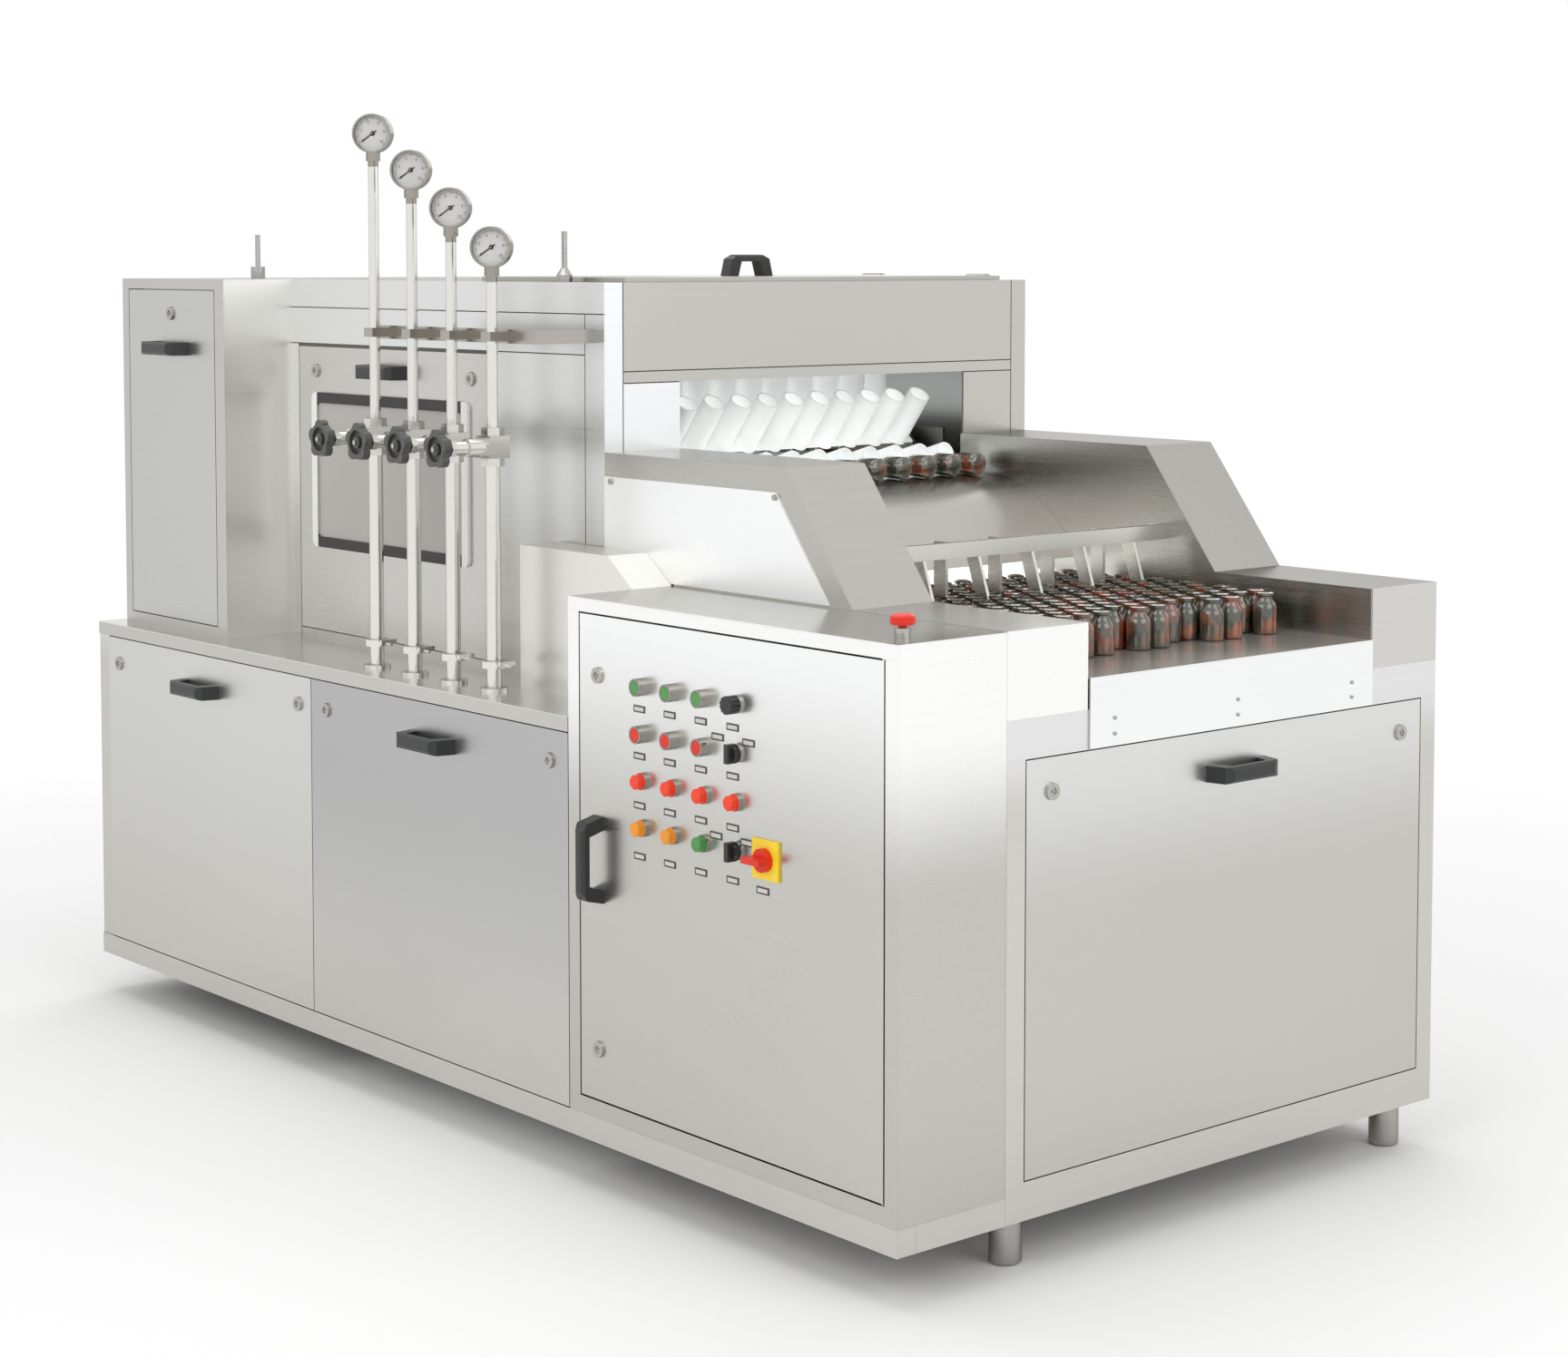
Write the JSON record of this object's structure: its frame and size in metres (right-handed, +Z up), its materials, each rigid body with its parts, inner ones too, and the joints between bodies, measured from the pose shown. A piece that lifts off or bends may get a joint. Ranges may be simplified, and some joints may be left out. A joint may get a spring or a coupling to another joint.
{
  "type": "vial washing machine",
  "caption": "Vial washing machine with a belt infeed, an inverting drum, an endless run of carrier tubes over spray nozzles, a control cabinet and gauge risers.",
  "frame": {"origin": "centre of the machine's outline on the floor", "axes": "+X to the infeed end, -Y to the operator's side, +Z up"},
  "size_m": [2.4801, 1.322, 1.753],
  "materials": {
    "brushed_panel": "fine brushed",
    "frame_steel": "satin",
    "polished_steel": "polished",
    "chrome": "bright",
    "chain_steel": "oiled",
    "black_plastic": "moulded satin",
    "white_nylon": "smooth",
    "black_rubber": "matt",
    "clear_glass": "clear",
    "green_plastic": "gloss",
    "red_plastic": "gloss",
    "lamp_plastic": "gloss",
    "motor_paint": "satin paint",
    "device_plastic": "moulded"
  },
  "bodies": {
    "machine": {"base_frame": "frame_steel", "leveling_feet": "chrome", "base_cladding": "brushed_panel", "control_cabinet": "brushed_panel", "cable_duct": "brushed_panel", "left_cabinet": "brushed_panel", "wash_housing": "brushed_panel", "infeed_side_walls": "brushed_panel", "infeed_table": "polished_steel", "infeed_belt": "frame_steel", "lane_guides": "brushed_panel", "drum_guard": "polished_steel", "carrier_tubes": "white_nylon", "carrier_chains": "chain_steel", "spray_nozzles": "polished_steel", "supply_manifold": "polished_steel", "riser_pipes": "polished_steel", "valve_bodies": "chrome", "pipe_supports": "polished_steel", "gauge_cases": "chrome", "gauge_lenses": "clear_glass", "water_tank": "frame_steel", "wash_pump": "motor_paint", "drive_motor": "motor_paint", "electrical_plate": "device_plastic"},
    "door": {"control_door": "brushed_panel", "control_bezels": "chrome", "pilot_lamps": "lamp_plastic"},
    "left_panel": {"front_panel_left": "brushed_panel"},
    "right_panel": {"front_panel_right": "brushed_panel"},
    "end_panel": {"infeed_end_panel": "brushed_panel"},
    "tower_door": {"cabinet_door": "brushed_panel"},
    "window": {"window_panel": "brushed_panel", "window_gasket": "black_rubber", "window_glass": "clear_glass"},
    "lid": {"hood_lid": "brushed_panel"},
    "drum": {"inverting_drum": "frame_steel"},
    "head_wheels": {"head_shaft": "chrome"},
    "tail_wheels": {"tail_shaft": "chrome"},
    "drive_roller": {"belt_drive_roller": "polished_steel"},
    "idler_roller": {"belt_idler_roller": "polished_steel"},
    "wheel_1": {"handwheel_1": "black_plastic"},
    "wheel_2": {"handwheel_2": "black_plastic"},
    "wheel_3": {"handwheel_3": "black_plastic"},
    "wheel_4": {"handwheel_4": "black_plastic"},
    "pointer_1": {"gauge_pointer_1": "black_plastic"},
    "pointer_2": {"gauge_pointer_2": "black_plastic"},
    "pointer_3": {"gauge_pointer_3": "black_plastic"},
    "pointer_4": {"gauge_pointer_4": "black_plastic"},
    "start_1": {"start_button_1": "green_plastic"},
    "stop_1": {"stop_button_1": "red_plastic"},
    "start_2": {"start_button_2": "green_plastic"},
    "stop_2": {"stop_button_2": "red_plastic"},
    "start_3": {"start_button_3": "green_plastic"},
    "stop_3": {"stop_button_3": "red_plastic"},
    "speed": {"speed_knob": "black_plastic"},
    "selector_1": {"selector_knob_1": "black_plastic"},
    "selector_2": {"selector_knob_2": "black_plastic"},
    "main_switch": {"main_switch_knob": "red_plastic"},
    "stop_mushroom": {"emergency_stop": "red_plastic"}
  },
  "joints": [
    {"name": "control_door_swing", "type": "hinge", "parent": "machine", "child": "door", "pos_m": [1.1645, -0.6035, 0.5], "axis": [0, 0, 1], "range_deg": [0, 110]},
    {"name": "left_panel_lift_off", "type": "slide", "parent": "machine", "child": "left_panel", "axis": [0, -1, 0], "range_m": [0, 0.15]},
    {"name": "right_panel_lift_off", "type": "slide", "parent": "machine", "child": "right_panel", "axis": [0, -1, 0], "range_m": [0, 0.15]},
    {"name": "end_panel_lift_off", "type": "slide", "parent": "machine", "child": "end_panel", "axis": [1, 0, 0], "range_m": [0, 0.15]},
    {"name": "tower_door_lift_off", "type": "slide", "parent": "machine", "child": "tower_door", "axis": [0, -1, 0], "range_m": [0, 0.15]},
    {"name": "window_lift_off", "type": "slide", "parent": "machine", "child": "window", "axis": [0, -1, 0], "range_m": [0, 0.08]},
    {"name": "lid_swing", "type": "hinge", "parent": "machine", "child": "lid", "pos_m": [0, 0.561, 1.461], "axis": [-1, 0, 0], "range_deg": [0, 100]},
    {"name": "valve_1_turn", "type": "hinge", "parent": "machine", "child": "wheel_1", "pos_m": [-0.262, -0.65, 1.177], "axis": [0, -1, 0], "range_deg": [-360, 360]},
    {"name": "valve_2_turn", "type": "hinge", "parent": "machine", "child": "wheel_2", "pos_m": [-0.139, -0.65, 1.177], "axis": [0, -1, 0], "range_deg": [-360, 360]},
    {"name": "valve_3_turn", "type": "hinge", "parent": "machine", "child": "wheel_3", "pos_m": [-0.016, -0.65, 1.177], "axis": [0, -1, 0], "range_deg": [-360, 360]},
    {"name": "valve_4_turn", "type": "hinge", "parent": "machine", "child": "wheel_4", "pos_m": [0.107, -0.65, 1.177], "axis": [0, -1, 0], "range_deg": [-360, 360]},
    {"name": "gauge_1_needle", "type": "hinge", "parent": "machine", "child": "pointer_1", "pos_m": [-0.262, -0.54, 1.718], "axis": [-0.7071, 0.7071, 0], "range_deg": [0, 260], "stiffness_Nm_per_rad": 0.001, "springref_deg": -5.73},
    {"name": "gauge_2_needle", "type": "hinge", "parent": "machine", "child": "pointer_2", "pos_m": [-0.139, -0.54, 1.6503], "axis": [-0.7071, 0.7071, 0], "range_deg": [0, 260], "stiffness_Nm_per_rad": 0.001, "springref_deg": -5.73},
    {"name": "gauge_3_needle", "type": "hinge", "parent": "machine", "child": "pointer_3", "pos_m": [-0.016, -0.54, 1.5826], "axis": [-0.7071, 0.7071, 0], "range_deg": [0, 260], "stiffness_Nm_per_rad": 0.001, "springref_deg": -5.73},
    {"name": "gauge_4_needle", "type": "hinge", "parent": "machine", "child": "pointer_4", "pos_m": [0.107, -0.54, 1.5149], "axis": [-0.7071, 0.7071, 0], "range_deg": [0, 260], "stiffness_Nm_per_rad": 0.001, "springref_deg": -5.73},
    {"name": "head_shaft_turn", "type": "hinge", "parent": "machine", "child": "head_wheels", "pos_m": [0.0424, 0.1, 1.075], "axis": [0, -1, 0], "continuous": true},
    {"name": "tail_shaft_turn", "type": "hinge", "parent": "machine", "child": "tail_wheels", "pos_m": [-0.7376, 0.1, 1.075], "axis": [0, -1, 0], "continuous": true},
    {"name": "drum_turn", "type": "hinge", "parent": "machine", "child": "drum", "pos_m": [0.35, 0.1, 0.815], "axis": [0, -1, 0], "continuous": true},
    {"name": "drive_roller_turn", "type": "hinge", "parent": "machine", "child": "drive_roller", "pos_m": [0.582, 0.1, 0.841], "axis": [0, -1, 0], "continuous": true},
    {"name": "idler_roller_turn", "type": "hinge", "parent": "machine", "child": "idler_roller", "pos_m": [0.975, 0.1, 0.841], "axis": [0, -1, 0], "continuous": true},
    {"name": "start_1_push", "type": "slide", "parent": "door", "child": "start_1", "axis": [0, 1, 0], "range_m": [0, 0.004], "stiffness_N_per_m": 400, "springref_m": -0.004},
    {"name": "stop_1_push", "type": "slide", "parent": "door", "child": "stop_1", "axis": [0, 1, 0], "range_m": [0, 0.004], "stiffness_N_per_m": 400, "springref_m": -0.004},
    {"name": "start_2_push", "type": "slide", "parent": "door", "child": "start_2", "axis": [0, 1, 0], "range_m": [0, 0.004], "stiffness_N_per_m": 400, "springref_m": -0.004},
    {"name": "stop_2_push", "type": "slide", "parent": "door", "child": "stop_2", "axis": [0, 1, 0], "range_m": [0, 0.004], "stiffness_N_per_m": 400, "springref_m": -0.004},
    {"name": "start_3_push", "type": "slide", "parent": "door", "child": "start_3", "axis": [0, 1, 0], "range_m": [0, 0.004], "stiffness_N_per_m": 400, "springref_m": -0.004},
    {"name": "stop_3_push", "type": "slide", "parent": "door", "child": "stop_3", "axis": [0, 1, 0], "range_m": [0, 0.004], "stiffness_N_per_m": 400, "springref_m": -0.004},
    {"name": "speed_turn", "type": "hinge", "parent": "door", "child": "speed", "pos_m": [0.8445, -0.62, 0.831], "axis": [0, -1, 0], "range_deg": [-135, 135]},
    {"name": "selector_1_turn", "type": "hinge", "parent": "door", "child": "selector_1", "pos_m": [0.8445, -0.62, 0.757], "axis": [0, -1, 0], "range_deg": [-90, 0]},
    {"name": "selector_2_turn", "type": "hinge", "parent": "door", "child": "selector_2", "pos_m": [0.8445, -0.62, 0.609], "axis": [0, -1, 0], "range_deg": [-90, 0]},
    {"name": "main_switch_turn", "type": "hinge", "parent": "door", "child": "main_switch", "pos_m": [0.914, -0.62, 0.607], "axis": [0, -1, 0], "range_deg": [-90, 0]},
    {"name": "emergency_stop_push", "type": "slide", "parent": "machine", "child": "stop_mushroom", "axis": [0, 0, -1], "range_m": [0, 0.004], "stiffness_N_per_m": 800, "springref_m": -0.004}
  ],
  "couplings": [
    {"joint": "tail_shaft_turn", "follows": "head_shaft_turn", "ratio": 1},
    {"joint": "drum_turn", "follows": "head_shaft_turn", "ratio": 0.5556},
    {"joint": "drive_roller_turn", "follows": "head_shaft_turn", "ratio": 2},
    {"joint": "idler_roller_turn", "follows": "head_shaft_turn", "ratio": 2}
  ]
}
